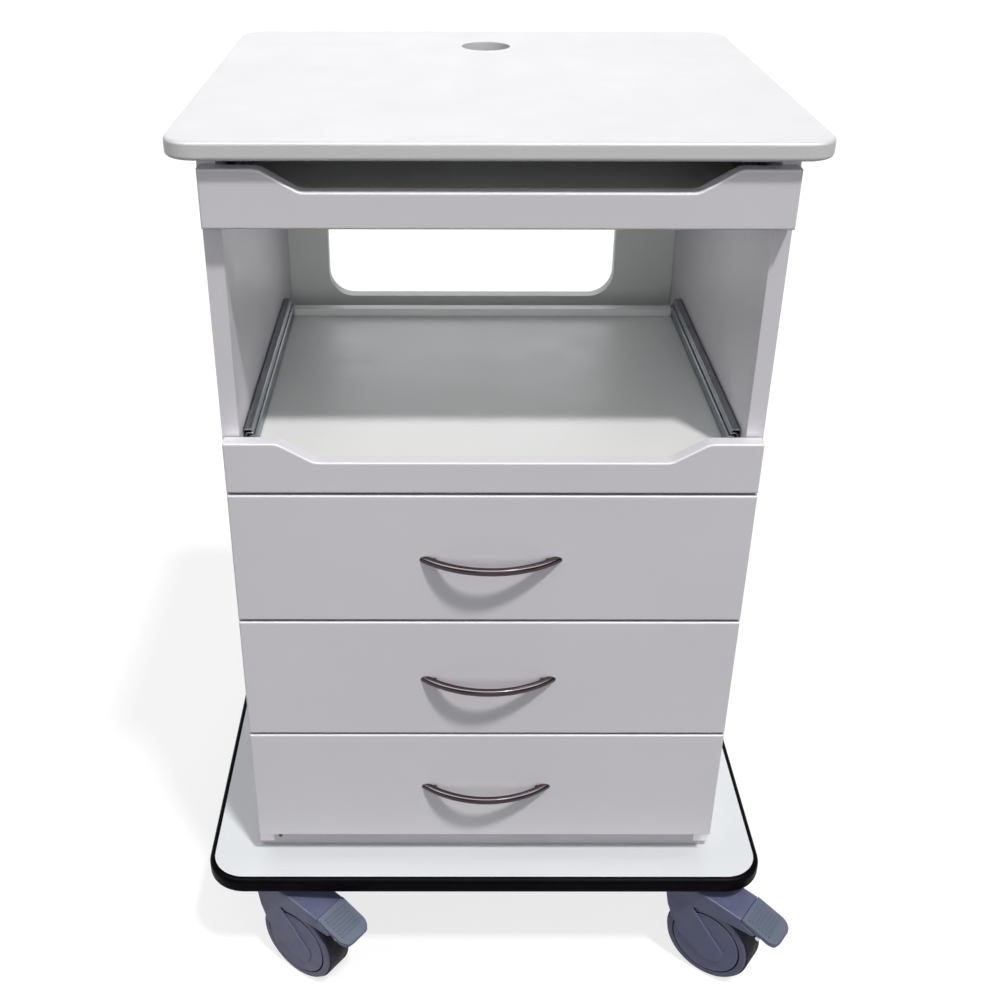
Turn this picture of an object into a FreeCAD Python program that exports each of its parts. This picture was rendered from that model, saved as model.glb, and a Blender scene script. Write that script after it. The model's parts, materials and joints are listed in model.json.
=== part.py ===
import FreeCAD, Part

import math
import os

import Sketcher

# Instrument cart: a laminate cabinet on a wide base board with four braked swivel casters.
# Frame: X to the right seen from the front, -Y to the front, +Z up, floor at Z = 0.
# The cabinet is drawn about its own centre plane and moved by frame_shift, so that the
# origin lies under the middle of the whole cart's box.

Vector = FreeCAD.Vector
doc = FreeCAD.newDocument("InstrumentCart")

SIZES = {
    "frame_shift": -13.975,
    # cabinet
    "carcass_width": 504.0,
    "board": 16.0,
    "carcass_front": -236.5,
    "carcass_back": 237.5,
    "carcass_bottom": 159.0,
    "top_underside": 931.0,
    "back_inset": 34.0,
    # top board
    "top_width": 555.0,
    "top_depth": 526.0,
    "top_corner": 28.0,
    "top_round": 3.5,
    "cable_hole_radius": 26.5,
    "cable_hole_back": 166.0,
    "cleat_width": 25.0,
    # base board and its moulding
    "base_width": 616.0,
    "base_depth": 580.0,
    "base_thick": 20.0,
    "base_underside": 132.0,
    "base_corner": 42.0,
    "moulding_thick": 6.0,
    "moulding_round": 5.5,
    "plinth_inset": 2.0,
    # window in the back board
    "window_left": -187.0,
    "window_right": 163.0,
    "window_low": 644.0,
    "window_high": 850.0,
    "window_corner": 30.0,
    # fronts
    "front_width": 500.0,
    "front_face": -253.5,
    "front_back": -237.5,
    "drawer_front_tall": 142.0,
    "front_pitch": 144.5,
    "lowest_front": 184.0,
    "front_round": 2.0,
    "lower_shelf_front": 617.5,
    "lower_shelf_tall": 52.0,
    "upper_shelf_front": 871.5,
    "upper_shelf_tall": 51.0,
    "scallop_flat": 166.0,
    "scallop_ramp": 34.0,
    "scallop_deep": 19.5,
    "scallop_round": 16.0,
    # shelf boards
    "box_half": 223.3,
    "shelf_board_rise": 4.0,
    "lower_board_rise": 15.5,
    "shelf_back": 133.5,
    "lip_rise": 9.0,
    "lip_thick": 12.0,
    # drawer boxes
    "box_tall": 110.0,
    "box_rise": 7.0,
    "box_back": 132.5,
    "box_wall": 12.0,
    "box_floor": 6.0,
    "box_floor_rise": 10.0,
    # ball bearing slides
    "slide_front": -217.5,
    "slide_long": 350.0,
    "slide_tall": 45.0,
    "slide_sheet": 1.2,
    "slide_reach": 9.5,
    "middle_tall": 38.2,
    "middle_gap": 1.2,
    "middle_reach": 7.6,
    "inner_tall": 31.4,
    "inner_reach": 7.5,
    "drawer_slide_rise": 62.0,
    "lower_slide_rise": 27.0,
    "upper_slide_rise": 16.0,
    # handles
    "handle_half": 63.0,
    "handle_bow": 22.0,
    "handle_radius": 4.0,
    "handle_screw_x": 55.0,
    "handle_screw_radius": 2.0,
    "handle_screw_head": 4.2,
    # casters
    "caster_x": 233.0,
    "caster_y": 247.5,
    "caster_turn": 36.8,
    "wheel_radius": 50.8,
    "wheel_half": 18.4,
    "tread_half": 15.4,
    "flange_radius": 48.8,
    "tyre_inner": 44.0,
    "rim_inner": 41.6,
    "hub_radius": 13.0,
    "hub_half": 15.2,
    "web_half": 4.0,
    "trail": 38.0,
    "axle_radius": 6.0,
    "axle_half": 19.0,
    "fork_half": 21.2,
    "fork_gap_half": 18.8,
    "wheel_well": 54.0,
    "hub_cover": 40.0,
    "cover_inside": 15.8,
    "cover_outside": 19.3,
    "cover_round": 0.8,
    "roof_top": 121.0,
    "fork_neck": 15.5,
    "fork_neck_tall": 6.0,
    "strap_end_round": 9.0,
    "fork_corner": 2.0,
    "fork_round": 1.6,
    "raceway_tall": 4.8,
    "neck_radius": 31.0,
    "neck_top": 128.8,
    "kingpin_radius": 6.0,
    "kingpin_low": 104.0,
    "plate_long": 95.0,
    "plate_wide": 67.0,
    "plate_thick": 3.0,
    "bolt_long": 75.0,
    "bolt_wide": 45.0,
    "bolt_radius": 4.0,
    "bolt_head": 7.5,
    "bolt_head_tall": 4.5,
    "bolt_reach": 18.0,
    # pedal
    "pedal_start": 76.8,
    "pedal_tip": 119.5,
    "pedal_half": 20.8,
    "pedal_high": 114.0,
    "pedal_low": 98.6,
    "pedal_thick": 4.2,
    "pedal_round": 13.0,
    "pedal_pin_u": 84.0,
    "pedal_pin_z": 101.2,
    "pedal_pin_half": 17.5,
    "pin_radius": 2.5,
    "ear_outer": 14.0,
    "ear_inner": 8.6,
    "cam_half": 8.0,
    "cam_foot_half": 13.0,
    "cam_foot_radius": 2.6,
    "rib_half": 15.5,
    "rib_tall": 0.9,
    # fits
    "running_gap": 0.05,
    "fixing_gap": 0.1,
}


class Dim:
    """A size with its value and the expression that ties it to the sheet."""

    def __init__(self, value, text=None):
        self.value = float(value)
        self.text = text if text is not None else repr(float(value))

    def _join(self, other, sign, value):
        return Dim(value, "(" + self.text + " " + sign + " " + as_dim(other).text + ")")

    def __add__(self, other):
        return self._join(other, "+", self.value + as_dim(other).value)

    def __sub__(self, other):
        return self._join(other, "-", self.value - as_dim(other).value)

    def __mul__(self, other):
        return self._join(other, "*", self.value * as_dim(other).value)

    def __truediv__(self, other):
        return self._join(other, "/", self.value / as_dim(other).value)

    def __neg__(self):
        return Dim(-self.value, "(0 - " + self.text + ")")


def as_dim(number):
    return number if isinstance(number, Dim) else Dim(number)


def make_sheet():
    sheet = doc.addObject("Spreadsheet::Sheet", "Sizes")
    for row, (name, value) in enumerate(SIZES.items(), start=1):
        sheet.set("A%d" % row, name)
        sheet.set("B%d" % row, repr(value))
        sheet.setAlias("B%d" % row, name)
    doc.recompute()
    return sheet


make_sheet()


def size(name):
    return Dim(SIZES[name], "Sizes." + name)


PARTS = []


def keep(node, thing):
    """Register a finished sub-part under its node name."""
    thing.Label = node
    PARTS.append(thing)
    return thing


def bind(thing, **sizes):
    for name, dim in sizes.items():
        thing.setExpression(name, as_dim(dim).text)


def place(thing, x=0.0, y=0.0, z=0.0):
    for axis, dim in (("x", x), ("y", y), ("z", z)):
        thing.setExpression("Placement.Base." + axis, as_dim(dim).text)


# ---------------------------------------------------------------- Part helpers
def block(name, x, y, z, shift=size("frame_shift")):
    """A box between two planes on each axis, given as (low, high) pairs."""
    box = doc.addObject("Part::Box", name)
    bind(box, Length=as_dim(x[1]) - x[0], Width=as_dim(y[1]) - y[0], Height=as_dim(z[1]) - z[0])
    place(box, as_dim(x[0]) + shift, y[0], z[0])
    return box


def rod(name, radius, height, x, y, z, along=Vector(0, 0, 1), shift=size("frame_shift")):
    """A round bar from a point, along a direction."""
    bar = doc.addObject("Part::Cylinder", name)
    bind(bar, Radius=radius, Height=height)
    bar.Placement = FreeCAD.Placement(Vector(), FreeCAD.Rotation(Vector(0, 0, 1), along))
    place(bar, as_dim(x) + shift, y, z)
    return bar


def fuse(name, pieces):
    joined = doc.addObject("Part::MultiFuse", name)
    joined.Shapes = pieces
    joined.Refine = True
    return joined


def cut(name, base, tool):
    rest = doc.addObject("Part::Cut", name)
    rest.Base = base
    rest.Tool = tool
    return rest


def group(name, pieces):
    """Several separate solids that share one node."""
    together = doc.addObject("Part::Compound", name)
    together.Links = pieces
    return together


# ---------------------------------------------------------------- PartDesign helpers
def body_named(name):
    return doc.addObject("PartDesign::Body", name)


def plane_of(body, role):
    return next(item for item in body.Origin.OriginFeatures if item.Role == role)


def sketch_on(body, name, role):
    sketch = body.newObject("Sketcher::SketchObject", name)
    sketch.AttachmentSupport = [(plane_of(body, role), "")]
    sketch.MapMode = "FlatFace"
    return sketch


def pin_point(sketch, curve, point, x, y):
    """Tie one point of a curve to the sheet through its two coordinates."""
    for kind, dim, axis in (("DistanceX", as_dim(x), -2), ("DistanceY", as_dim(y), -1)):
        if abs(dim.value) < 1e-9:
            sketch.addConstraint(Sketcher.Constraint("PointOnObject", curve, point, axis))
            continue
        index = sketch.addConstraint(Sketcher.Constraint(kind, -1, 1, curve, point, dim.value))
        sketch.setExpression("Constraints[%d]" % index, dim.text)


def outline(sketch, points):
    """A closed polygon whose corners are tied to the sheet."""
    first = sketch.GeometryCount
    count = len(points)
    corners = [Vector(as_dim(x).value, as_dim(y).value, 0) for x, y in points]
    for index in range(count):
        line = Part.LineSegment(corners[index], corners[(index + 1) % count])
        sketch.addGeometry(line, False)
    for index in range(count):
        following = first + (index + 1) % count
        sketch.addConstraint(Sketcher.Constraint("Coincident", first + index, 2, following, 1))
    for index, (x, y) in enumerate(points):
        pin_point(sketch, first + index, 1, x, y)
    return sketch


def ring(sketch, x, y, radius):
    """A circle whose centre and radius are tied to the sheet."""
    centre = Vector(as_dim(x).value, as_dim(y).value, 0)
    circle = Part.Circle(centre, Vector(0, 0, 1), as_dim(radius).value)
    curve = sketch.addGeometry(circle, False)
    pin_point(sketch, curve, 3, x, y)
    index = sketch.addConstraint(Sketcher.Constraint("Radius", curve, as_dim(radius).value))
    sketch.setExpression("Constraints[%d]" % index, as_dim(radius).text)
    return sketch


def rectangle(x, y):
    return [(x[0], y[0]), (x[1], y[0]), (x[1], y[1]), (x[0], y[1])]


def extrude(body, kind, sketch, length, both=False, reverse=False):
    """A Pad or a Pocket of a sketch, checked to have changed the volume."""
    before = body.Shape.Volume if body.Tip else 0.0
    feature = body.newObject("PartDesign::" + kind, sketch.Name + kind)
    feature.Profile = sketch
    feature.setExpression("Length", as_dim(length).text)
    feature.SideType = "Symmetric" if both else "One side"
    feature.Reversed = reverse
    doc.recompute()
    change = feature.Shape.Volume - before
    if (kind == "Pad") != (change > 0) or abs(change) < 1e-6:
        raise RuntimeError(feature.Name + " changed the volume by %.3f" % change)
    return feature


def revolve(body, sketch, axis):
    feature = body.newObject("PartDesign::Revolution", sketch.Name + "Turn")
    feature.Profile = sketch
    feature.ReferenceAxis = (sketch, [axis])
    feature.Angle = 360.0
    doc.recompute()
    return feature


def round_edges(body, name, radius, wanted):
    """Fillet the edges of the body's tip that the test picks."""
    base = body.Tip
    picked = ["Edge%d" % (i + 1) for i, edge in enumerate(base.Shape.Edges) if wanted(edge)]
    if not picked:
        raise RuntimeError(name + " found no edge")
    feature = body.newObject("PartDesign::Fillet", name)
    feature.Base = (base, picked)
    feature.setExpression("Radius", as_dim(radius).text)
    doc.recompute()
    return feature


def runs_along(edge, axis):
    """True for a straight edge parallel to an axis."""
    box = edge.BoundBox
    span = Vector(box.XLength, box.YLength, box.ZLength)
    return edge.Length > 1e-6 and abs(edge.Length - abs(span.dot(axis))) < 1e-5


def lies_at(edge, axis, level):
    """True for an edge that lies in the plane across an axis at a level."""
    box = edge.BoundBox
    low = {"x": box.XMin, "y": box.YMin, "z": box.ZMin}[axis]
    high = {"x": box.XMax, "y": box.YMax, "z": box.ZMax}[axis]
    return abs(low - level) < 1e-4 and abs(high - level) < 1e-4


def reach(edge):
    """How far an edge's box reaches from the centre, on X."""
    return max(abs(edge.BoundBox.XMin), abs(edge.BoundBox.XMax))


# ---------------------------------------------------------------- shared planes
half_inside = size("carcass_width") / 2 - size("board")
half_outside = size("carcass_width") / 2
back_face = size("carcass_back") - size("back_inset")
base_top = size("base_underside") + size("base_thick")
top_top = size("top_underside") + size("board")
box_half = size("box_half")
SIDES = (("left", -1), ("right", 1))


def mirrored(side, near, far):
    """An X span on one side of the centre plane, low end first."""
    return (near, far) if side > 0 else (-as_dim(far), -as_dim(near))


# ---------------------------------------------------------------- cabinet
def build_top_board():
    body = body_named("TopCore")
    half = (size("top_width") / 2, size("top_depth") / 2)
    sketch = sketch_on(body, "TopOutline", "XY_Plane")
    outline(sketch, rectangle((-half[0], half[0]), (-half[1], half[1])))
    extrude(body, "Pad", sketch, size("board"))
    round_edges(body, "TopCorners", size("top_corner"), lambda e: runs_along(e, Vector(0, 0, 1)))
    hole = sketch_on(body, "CableHole", "XY_Plane")
    ring(hole, 0, size("cable_hole_back"), size("cable_hole_radius"))
    extrude(body, "Pocket", hole, size("board"), reverse=True)
    levels = (0.0, size("board").value)
    wide = size("cable_hole_radius").value + 1.0
    round_edges(body, "TopRounding", size("top_round"),
                lambda e: reach(e) > wide and any(lies_at(e, "z", level) for level in levels))
    place(body, size("frame_shift"), 0, size("top_underside"))
    keep("top_board", cut("TopBoard", body, fuse("TopSeats", top_seats("TopSeat"))))


def build_sides():
    levels = (size("carcass_bottom"), size("top_underside"))
    depth = (size("carcass_front"), size("carcass_back"))
    for word, side in SIDES:
        panel = block("SidePanel_" + word, mirrored(side, half_inside, half_outside), depth, levels)
        keep("side_panel_" + word, panel)


def build_back_panel():
    body = body_named("back_panel")
    low = size("carcass_bottom") + size("board")
    sketch = sketch_on(body, "BackOutline", "XZ_Plane")
    outline(sketch, rectangle((-half_inside, half_inside), (low, size("top_underside"))))
    extrude(body, "Pad", sketch, size("board"), reverse=True)
    window = sketch_on(body, "BackWindow", "XZ_Plane")
    across = (size("window_left"), size("window_right"))
    outline(window, rectangle(across, (size("window_low"), size("window_high"))))
    extrude(body, "Pocket", window, size("board"))
    edge_of_board = half_inside.value - 1.0
    round_edges(body, "WindowCorners", size("window_corner"),
                lambda e: runs_along(e, Vector(0, 1, 0)) and reach(e) < edge_of_board)
    place(body, size("frame_shift"), back_face, 0)
    keep("back_panel", body)


BASE_SCREW_X = (-180.0, 0.0, 180.0)
BASE_SCREW_Y = (-190.0, 170.0)
TOP_SCREW_Y = (-170.0, 0.0, 150.0)
BASE_SCREW_LONG = 38.0
TOP_SCREW_LONG = 27.0
SCREW_RADIUS = 2.0
SCREW_HEAD = 4.0
SCREW_HEAD_TALL = 2.5
PILOT_RADIUS = 2.5
PILOT_DEPTH = 12.0
PILOT_X = -229.5
PILOT_RISE = 7.0


def screw(name, x, y, z, length):
    """A countersunk wood screw with its head at the bottom, pointing up."""
    shank = rod(name + "Shank", SCREW_RADIUS, length, x, y, z)
    head = doc.addObject("Part::Cone", name + "Head")
    bind(head, Radius1=SCREW_HEAD, Radius2=SCREW_RADIUS, Height=SCREW_HEAD_TALL)
    place(head, as_dim(x) + size("frame_shift"), y, z)
    return fuse(name, [shank, head])


def screw_seat(name, x, y, z, length):
    """The space that a screw needs in the boards it holds."""
    gap = size("fixing_gap")
    shank = rod(name + "Bore", gap + SCREW_RADIUS, gap + length, x, y, z)
    head = doc.addObject("Part::Cone", name + "Sink")
    bind(head, Radius1=gap + SCREW_HEAD, Radius2=gap + SCREW_RADIUS, Height=SCREW_HEAD_TALL)
    place(head, as_dim(x) + size("frame_shift"), y, z)
    return [shank, head]


def base_screw_places():
    return [(x, y) for x in BASE_SCREW_X for y in BASE_SCREW_Y]


def top_screw_places():
    reach_x = half_inside.value - SIZES["cleat_width"] / 2
    return [(side * reach_x, y) for side in (-1, 1) for y in TOP_SCREW_Y]


def base_seats(name):
    seats = []
    for index, (x, y) in enumerate(base_screw_places()):
        seats += screw_seat("%s%d" % (name, index), x, y, size("base_underside"), BASE_SCREW_LONG)
    return seats


def top_seats(name):
    seats = []
    low = size("top_underside") - size("board")
    for index, (x, y) in enumerate(top_screw_places()):
        seats += screw_seat("%s%d" % (name, index), x, y, low, TOP_SCREW_LONG)
    return seats


def build_bottom_panel():
    low = size("carcass_bottom")
    panel = block("BottomBoard", (-half_inside, half_inside), (size("carcass_front") + 1, back_face),
                  (low, low + size("board")))
    pilot = rod("BottomPilot", PILOT_RADIUS, PILOT_DEPTH, PILOT_X, size("carcass_front") + 1,
                low + PILOT_RISE, Vector(0, 1, 0))
    tools = fuse("BottomHoles", [pilot] + base_seats("BottomSeat"))
    keep("bottom_panel", cut("BottomPanel", panel, tools))


def build_plinth():
    inset = size("plinth_inset")
    strip = block("PlinthBoard", (-half_outside + inset, half_outside - inset),
                  (size("carcass_front") + inset, size("carcass_back") - inset),
                  (base_top, size("carcass_bottom")))
    tools = fuse("PlinthHoles", base_seats("PlinthSeat"))
    keep("plinth", cut("PlinthPanel", strip, tools))


def build_cleats():
    levels = (size("top_underside") - size("board"), size("top_underside"))
    for word, side in SIDES:
        near = half_inside - size("cleat_width")
        block("Cleat_" + word, mirrored(side, near, half_inside), (-200.0, 180.0), levels)
    pair = group("CleatPair", [doc.getObject("Cleat_left"), doc.getObject("Cleat_right")])
    tools = fuse("CleatHoles", top_seats("CleatSeat"))
    keep("top_cleats", cut("TopCleats", pair, tools))


def build_assembly_screws():
    screws = []
    for index, (x, y) in enumerate(base_screw_places()):
        name = "BaseScrew%d" % index
        screws.append(screw(name, x, y, size("base_underside"), BASE_SCREW_LONG))
    for index, (x, y) in enumerate(top_screw_places()):
        low = size("top_underside") - size("board")
        screws.append(screw("TopScrew%d" % index, x, y, low, TOP_SCREW_LONG))
    keep("assembly_screws", group("AssemblyScrews", screws))


# ---------------------------------------------------------------- base board
def caster_places():
    """Corner name, sign on X, sign on Y, and the way the caster trails, in degrees."""
    turn = SIZES["caster_turn"]
    return (
        ("front_left", -1, -1, -turn),
        ("front_right", 1, -1, -turn),
        ("rear_left", -1, 1, turn),
        ("rear_right", 1, 1, 180.0 - turn),
    )


def bolt_places():
    places = []
    for _, side, end, _ in caster_places():
        for across in (-1, 1):
            for along in (-1, 1):
                x = size("caster_x") * side + size("bolt_long") * (across / 2)
                y = size("caster_y") * end + size("bolt_wide") * (along / 2)
                places.append((x, y))
    return places


def build_base_board():
    body = body_named("BaseCore")
    half = [size(name) / 2 - size("moulding_thick") for name in ("base_width", "base_depth")]
    sketch = sketch_on(body, "BaseOutline", "XY_Plane")
    outline(sketch, rectangle((-half[0], half[0]), (-half[1], half[1])))
    extrude(body, "Pad", sketch, size("base_thick"))
    round_edges(body, "BaseCorners", size("base_corner") - size("moulding_thick"),
                lambda e: runs_along(e, Vector(0, 0, 1)))
    place(body, size("frame_shift"), 0, size("base_underside"))
    holes = base_seats("BaseSeat")
    for index, (x, y) in enumerate(bolt_places()):
        holes.append(rod("BaseBore%d" % index, size("bolt_radius") + size("fixing_gap"),
                         size("bolt_reach") + size("fixing_gap"), x, y, size("base_underside")))
    keep("base_board", cut("BaseBoard", body, fuse("BaseHoles", holes)))


def build_moulding():
    body = body_named("base_edge_moulding")
    outer = [size(name) / 2 for name in ("base_width", "base_depth")]
    inner = [half - size("moulding_thick") for half in outer]
    sketch = sketch_on(body, "MouldingOutline", "XY_Plane")
    outline(sketch, rectangle((-outer[0], outer[0]), (-outer[1], outer[1])))
    extrude(body, "Pad", sketch, size("base_thick"))
    opening = sketch_on(body, "MouldingInside", "XY_Plane")
    outline(opening, rectangle((-inner[0], inner[0]), (-inner[1], inner[1])))
    extrude(body, "Pocket", opening, size("base_thick"), reverse=True)
    between = inner[0].value + 1.0
    upright = Vector(0, 0, 1)
    round_edges(body, "MouldingOuterCorners", size("base_corner"),
                lambda e: runs_along(e, upright) and reach(e) > between)
    round_edges(body, "MouldingInnerCorners", size("base_corner") - size("moulding_thick"),
                lambda e: runs_along(e, upright) and reach(e) < between)
    levels = (0.0, size("base_thick").value)
    edge = (outer[0].value - 1.0, outer[1].value - 1.0)

    def on_rim(e):
        box = e.BoundBox
        outside = max(abs(box.XMin), abs(box.XMax)) > edge[0] or max(abs(box.YMin), abs(box.YMax)) > edge[1]
        return outside and any(lies_at(e, "z", level) for level in levels)

    round_edges(body, "MouldingRounding", size("moulding_round"), on_rim)
    place(body, size("frame_shift"), 0, size("base_underside"))
    keep("base_edge_moulding", body)


# ---------------------------------------------------------------- slides
def channel(name, side, web, mouth, centre, tall):
    """A C-shaped slide member; web and mouth are distances from the centre plane."""
    ends = (size("slide_front"), size("slide_front") + size("slide_long"))
    low = centre - as_dim(tall) / 2
    high = centre + as_dim(tall) / 2
    sheet = size("slide_sheet")
    outward = web.value > mouth.value
    span = (mouth, web) if outward else (web, mouth)
    hollow = (mouth - 1, web - sheet) if outward else (web + sheet, mouth + 1)
    bar = block(name + "Bar", mirrored(side, *span), ends, (low, high))
    past = (ends[0] - 1, ends[1] + 1)
    room = block(name + "Room", mirrored(side, *hollow), past, (low + sheet, high - sheet))
    return cut(name, bar, room)


def member_pair(name, web, mouth, centre, tall):
    return [channel(name + word, side, web, mouth, centre, tall) for word, side in SIDES]


def slide_levels():
    """Each sliding unit's name and the height of its slide's middle."""
    levels = []
    for number in (1, 2, 3):
        low = size("lowest_front") + size("front_pitch") * (3 - number)
        levels.append(("drawer_%d" % number, low + size("drawer_slide_rise")))
    levels.append(("lower_shelf", size("lower_shelf_front") + size("lower_slide_rise")))
    levels.append(("upper_shelf", size("upper_shelf_front") + size("upper_slide_rise")))
    return levels


def build_slides():
    fixed = []
    middle_web = half_inside - size("slide_sheet") - size("middle_gap")
    for unit, centre in slide_levels():
        fixed += member_pair("Fixed_" + unit + "_", half_inside, half_inside - size("slide_reach"),
                             centre, size("slide_tall"))
        middle = member_pair("Middle_" + unit + "_", middle_web, middle_web - size("middle_reach"),
                             centre, size("middle_tall"))
        keep(unit + "_slide_middle", group(unit + "_MiddlePair", middle))
        inner = member_pair("Inner_" + unit + "_", box_half, box_half + size("inner_reach"),
                            centre, size("inner_tall"))
        keep(unit + "_slide_inner", group(unit + "_InnerPair", inner))
    keep("cabinet_slide_members", group("FixedMembers", fixed))


# ---------------------------------------------------------------- fronts
def soften_front(body, name):
    depth = (size("front_back") - size("front_face")).value
    round_edges(body, name, size("front_round"),
                lambda e: lies_at(e, "y", 0.0) or lies_at(e, "y", -depth))


def build_drawer_front(number, low):
    body = body_named("DrawerFrontCore%d" % number)
    half = size("front_width") / 2
    sketch = sketch_on(body, "DrawerFrontOutline%d" % number, "XZ_Plane")
    outline(sketch, rectangle((-half, half), (0, size("drawer_front_tall"))))
    extrude(body, "Pad", sketch, size("front_back") - size("front_face"))
    soften_front(body, "DrawerFrontRounding%d" % number)
    place(body, size("frame_shift"), size("front_back"), low)
    middle = low + size("drawer_front_tall") / 2
    bores = []
    for word, side in SIDES:
        bores.append(rod("FrontBore%d%s" % (number, word), size("handle_screw_radius") + size("fixing_gap"),
                         size("front_back") - size("front_face") + 2, size("handle_screw_x") * side,
                         size("front_face") - 1, middle, Vector(0, 1, 0)))
    front = cut("DrawerFront%d" % number, body, fuse("FrontBores%d" % number, bores))
    keep("drawer_%d_front" % number, front)


def build_shelf_front(unit, low, tall):
    """A shelf front with a wide finger cut-out in its upper edge."""
    body = body_named(unit + "_front")
    half = size("front_width") / 2
    flat = size("scallop_flat")
    ramp = flat + size("scallop_ramp")
    floor = tall - size("scallop_deep")
    sketch = sketch_on(body, unit + "FrontOutline", "XZ_Plane")
    outline(sketch, [(-half, 0), (half, 0), (half, tall), (ramp, tall), (flat, floor),
                     (-flat, floor), (-ramp, tall), (-half, tall)])
    extrude(body, "Pad", sketch, size("front_back") - size("front_face"))
    inside = half.value - 1.0
    round_edges(body, unit + "Scallop", size("scallop_round"),
                lambda e: runs_along(e, Vector(0, 1, 0)) and reach(e) < inside)
    soften_front(body, unit + "FrontRounding")
    place(body, size("frame_shift"), size("front_back"), low)
    keep(unit + "_front", body)


def build_shelf_board(unit, low):
    """A pull-out board with an upstand along its back edge."""
    high = low + size("board")
    front = size("front_back")
    back = size("shelf_back")
    plate = block(unit + "Plate", (-box_half, box_half), (front, back), (low, high))
    lip = block(unit + "Lip", (-box_half, box_half), (back - size("lip_thick"), back),
                (low, high + size("lip_rise")))
    keep(unit + "_board", fuse(unit + "Board", [plate, lip]))


def build_drawer_box(number, low):
    name = "Box%d" % number
    floor = low + size("box_rise")
    levels = (floor, floor + size("box_tall"))
    depth = (size("front_back"), size("box_back"))
    wall = size("box_wall")
    inside = box_half - wall
    pieces = []
    for word, side in SIDES:
        pieces.append(block(name + "Side" + word, mirrored(side, inside, box_half), depth, levels))
    pieces.append(block(name + "Back", (-inside, inside), (depth[1] - wall, depth[1]), levels))
    bottom = floor + size("box_floor_rise")
    pieces.append(block(name + "Floor", (-inside, inside), (depth[0], depth[1] - wall),
                        (bottom, bottom + size("box_floor"))))
    keep("drawer_%d_box" % number, group(name, pieces))


def bow_radius():
    half, bow = size("handle_half"), size("handle_bow")
    return (half * half + bow * bow) / (bow * 2)


def build_handle(number, low):
    """A bowed round bar, cut flush where it meets the front, with its two screws."""
    middle = low + size("drawer_front_tall") / 2
    face = size("front_face")
    bow = size("handle_bow")
    name = "Handle%d" % number
    hoop = doc.addObject("Part::Torus", name + "Hoop")
    bind(hoop, Radius1=bow_radius(), Radius2=size("handle_radius"))
    place(hoop, size("frame_shift"), face - bow + bow_radius(), middle)
    room = block(name + "Room", (-100.0, 100.0), (face - bow - 10, face), (middle - 10, middle + 10))
    arc = doc.addObject("Part::Common", name + "Arc")
    arc.Base = hoop
    arc.Tool = room
    screws = []
    bores = []
    reach_in = size("handle_bow") / 4
    length = size("front_back") - face + reach_in
    for word, side in SIDES:
        x = size("handle_screw_x") * side
        start = (x, size("front_back"), middle)
        shank = rod(name + "Shank" + word, size("handle_screw_radius"), length, *start, Vector(0, -1, 0))
        head = rod(name + "Head" + word, size("handle_screw_head"), 2.5, *start, Vector(0, 1, 0))
        screws.append(fuse(name + "Screw" + word, [shank, head]))
        bores.append(rod(name + "Bore" + word, size("handle_screw_radius") + size("fixing_gap"),
                         length + size("fixing_gap"), *start, Vector(0, -1, 0)))
    bar = cut(name + "Bar", arc, fuse(name + "Bores", bores))
    keep("drawer_%d_handle" % number, group(name, [bar] + screws))


def build_drawers():
    for number in (1, 2, 3):
        low = size("lowest_front") + size("front_pitch") * (3 - number)
        build_drawer_front(number, low)
        build_drawer_box(number, low)
        build_handle(number, low)


def build_shelves():
    build_shelf_front("lower_shelf", size("lower_shelf_front"), size("lower_shelf_tall"))
    build_shelf_board("lower_shelf", size("lower_shelf_front") + size("lower_board_rise"))
    build_shelf_front("upper_shelf", size("upper_shelf_front"), size("upper_shelf_tall"))
    build_shelf_board("upper_shelf", size("upper_shelf_front") + size("shelf_board_rise"))


# ---------------------------------------------------------------- casters
def caster_frame(side, end, turn):
    """Where a caster stands: its X runs from the swivel axis towards the pedal."""
    x = SIZES["caster_x"] * side + SIZES["frame_shift"]
    y = SIZES["caster_y"] * end
    return FreeCAD.Placement(Vector(x, y, 0), FreeCAD.Rotation(Vector(0, 0, 1), turn))


def at_wheel():
    centre = Vector(SIZES["trail"], 0, SIZES["wheel_radius"])
    return FreeCAD.Placement(centre, FreeCAD.Rotation())


def fork_outline():
    """Side view of the strap, the leg and the arm that carries the pedal, in trail and height."""
    top = size("roof_top")
    joint = size("pedal_start") - 0.8
    return [
        (-16.5, top), (-15.0, 97.0), (-12.0, 82.0), (-6.0, 68.0), (6.0, 47.5),
        (37.0, 28.0), (57.0, 30.0), (62.5, 46.5),
        (28.0, 83.5), (19.0, 94.5), (21.5, 97.0), (30.0, 95.3),
        (60.0, 97.5), (90.0, 96.8), (95.0, 100.0),
        (joint, 108.5), (joint, size("pedal_high") - 0.6), (34.0, top),
    ]


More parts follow.
